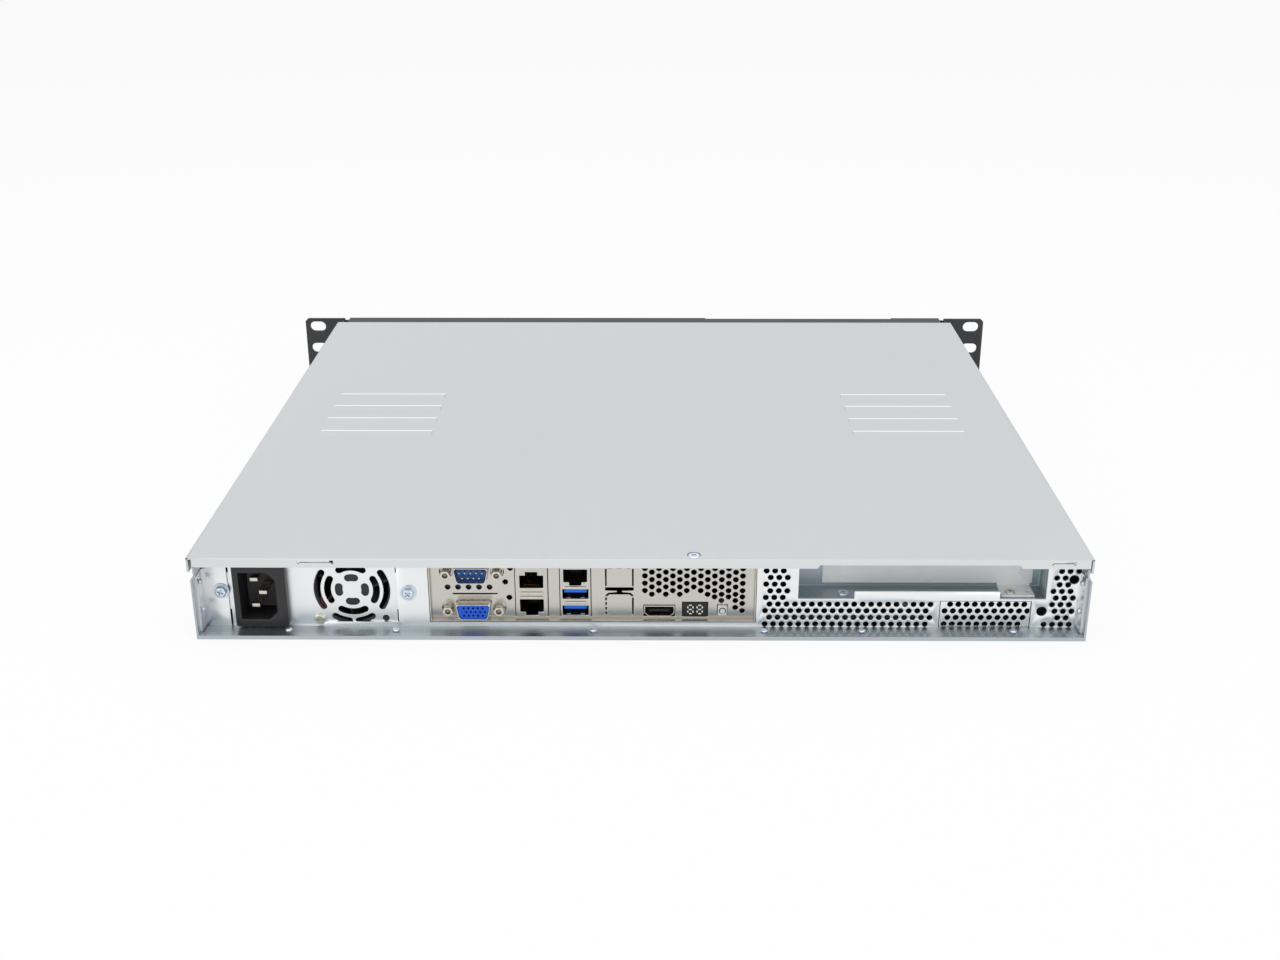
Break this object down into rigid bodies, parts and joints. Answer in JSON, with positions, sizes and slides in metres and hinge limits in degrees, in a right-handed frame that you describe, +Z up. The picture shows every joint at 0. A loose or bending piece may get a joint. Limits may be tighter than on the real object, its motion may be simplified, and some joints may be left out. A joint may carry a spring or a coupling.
{
  "type": "rack server",
  "caption": "Flat rack-mount computer server, one rack unit high, with rear ports, supply, fans, drives and a lift-off cover.",
  "frame": {"origin": "centre of the underside's bounding rectangle, on the surface it stands on", "axes": "+X to the left as seen from the rear, along the rack's width; +Y out of the rear wall; +Z up"},
  "size_m": [0.4826, 0.403, 0.0442],
  "materials": {
    "galvanised_steel": "zinc-coated sheet, satin with faint spangle",
    "cover_steel": "zinc-coated sheet, satin with a faint lengthwise grain",
    "black_coat": "black textured powder coat",
    "stainless_steel": "bright rolled stainless sheet",
    "zinc_plated": "bright zinc plate with a blue tint",
    "nickel_plated": "nickel plate",
    "black_plastic": "black moulded plastic",
    "blue_plastic": "blue moulded plastic in a nickel shell",
    "green_board": "green solder resist over glass fibre",
    "aluminium": "plain aluminium",
    "white_plastic": "white moulded plastic",
    "display_glass": "dark red window",
    "clear_plastic": "clear light guide",
    "grey_plastic": "grey moulded plastic"
  },
  "bodies": {
    "chassis": {"chassis_tray": "galvanised_steel", "rear_wall": "galvanised_steel", "vent_plate": "galvanised_steel", "expansion_bracket": "galvanised_steel", "slot_cover": "galvanised_steel", "psu_case": "galvanised_steel", "optical_bracket": "galvanised_steel", "drive_tray": "galvanised_steel", "fan_bracket": "galvanised_steel", "rear_screws": "zinc_plated", "chassis_rivets": "zinc_plated", "board_screws": "zinc_plated", "board_standoffs": "nickel_plated", "jackscrews": "nickel_plated", "inlet_pins": "nickel_plated", "front_panel": "black_coat", "ear_left": "black_coat", "ear_right": "black_coat", "io_shield": "stainless_steel", "lan_ports": "stainless_steel", "usb_lan_stack": "stainless_steel", "hdmi_port": "stainless_steel", "front_usb_ports": "stainless_steel", "optical_drive": "stainless_steel", "serial_port": "blue_plastic", "vga_port": "blue_plastic", "ac_inlet": "black_plastic", "psu_fan_frame": "black_plastic", "fan_frame_left": "black_plastic", "fan_frame_middle": "black_plastic", "fan_frame_right": "black_plastic", "memory_slots": "black_plastic", "expansion_slot": "black_plastic", "board_parts": "grey_plastic", "mainboard": "green_board", "riser_card": "green_board", "front_board": "green_board", "memory_modules": "green_board", "cpu_heatsink": "aluminium", "chipset_heatsink": "aluminium", "hard_drive": "aluminium", "cpu_socket": "nickel_plated", "coin_cell": "nickel_plated", "code_display": "display_glass", "front_lights": "clear_plastic"},
    "cover": {"top_cover": "cover_steel", "cover_screw": "zinc_plated"},
    "psu_rotor": {"psu_fan_rotor": "black_plastic"},
    "rotor_left": {"fan_rotor_left": "black_plastic"},
    "rotor_middle": {"fan_rotor_middle": "black_plastic"},
    "rotor_right": {"fan_rotor_right": "black_plastic"},
    "disc_drawer": {"disc_tray": "black_plastic"},
    "disc_spindle": {"spindle_hub": "grey_plastic"},
    "eject_key": {"eject_button": "black_plastic"},
    "power_key": {"power_button": "grey_plastic"},
    "reset_key": {"reset_button": "grey_plastic"},
    "locator_key": {"id_button": "white_plastic"},
    "latch_a": {"memory_latch_a": "white_plastic"},
    "latch_b": {"memory_latch_b": "white_plastic"}
  },
  "joints": [
    {"name": "cover_lift", "type": "slide", "parent": "chassis", "child": "cover", "axis": [0, 0, 1], "range_m": [0, 0.12]},
    {"name": "psu_fan_spin", "type": "hinge", "parent": "chassis", "child": "psu_rotor", "pos_m": [0.1413, 0.1777, 0.02125], "axis": [0, 1, 0], "continuous": true},
    {"name": "fan_left_spin", "type": "hinge", "parent": "chassis", "child": "rotor_left", "pos_m": [0.084, -0.0725, 0.021], "axis": [0, 1, 0], "continuous": true},
    {"name": "fan_middle_spin", "type": "hinge", "parent": "chassis", "child": "rotor_middle", "pos_m": [0.036, -0.0725, 0.021], "axis": [0, 1, 0], "continuous": true},
    {"name": "fan_right_spin", "type": "hinge", "parent": "chassis", "child": "rotor_right", "pos_m": [-0.012, -0.0725, 0.021], "axis": [0, 1, 0], "continuous": true},
    {"name": "disc_drawer_slide", "type": "slide", "parent": "chassis", "child": "disc_drawer", "axis": [0, -1, 0], "range_m": [0, 0.123]},
    {"name": "disc_spindle_spin", "type": "hinge", "parent": "disc_drawer", "child": "disc_spindle", "pos_m": [-0.1095, -0.1349, 0.0335], "axis": [0, 0, 1], "continuous": true},
    {"name": "eject_press", "type": "slide", "parent": "disc_drawer", "child": "eject_key", "axis": [0, 1, 0], "range_m": [0, 0.0008], "stiffness_N_per_m": 300, "springref_m": -0.0005},
    {"name": "power_press", "type": "slide", "parent": "chassis", "child": "power_key", "axis": [0, 1, 0], "range_m": [0, 0.001], "stiffness_N_per_m": 300, "springref_m": -0.0005},
    {"name": "reset_press", "type": "slide", "parent": "chassis", "child": "reset_key", "axis": [0, 1, 0], "range_m": [0, 0.001], "stiffness_N_per_m": 300, "springref_m": -0.0005},
    {"name": "locator_press", "type": "slide", "parent": "chassis", "child": "locator_key", "axis": [0, -1, 0], "range_m": [0, 0.0008], "stiffness_N_per_m": 300, "springref_m": -0.0005},
    {"name": "latch_a_swing", "type": "hinge", "parent": "chassis", "child": "latch_a", "pos_m": [-0.032, -0.011, 0.0095], "axis": [1, 0, 0], "range_deg": [0, 25]},
    {"name": "latch_b_swing", "type": "hinge", "parent": "chassis", "child": "latch_b", "pos_m": [-0.0415, -0.011, 0.0095], "axis": [1, 0, 0], "range_deg": [0, 25]}
  ]
}
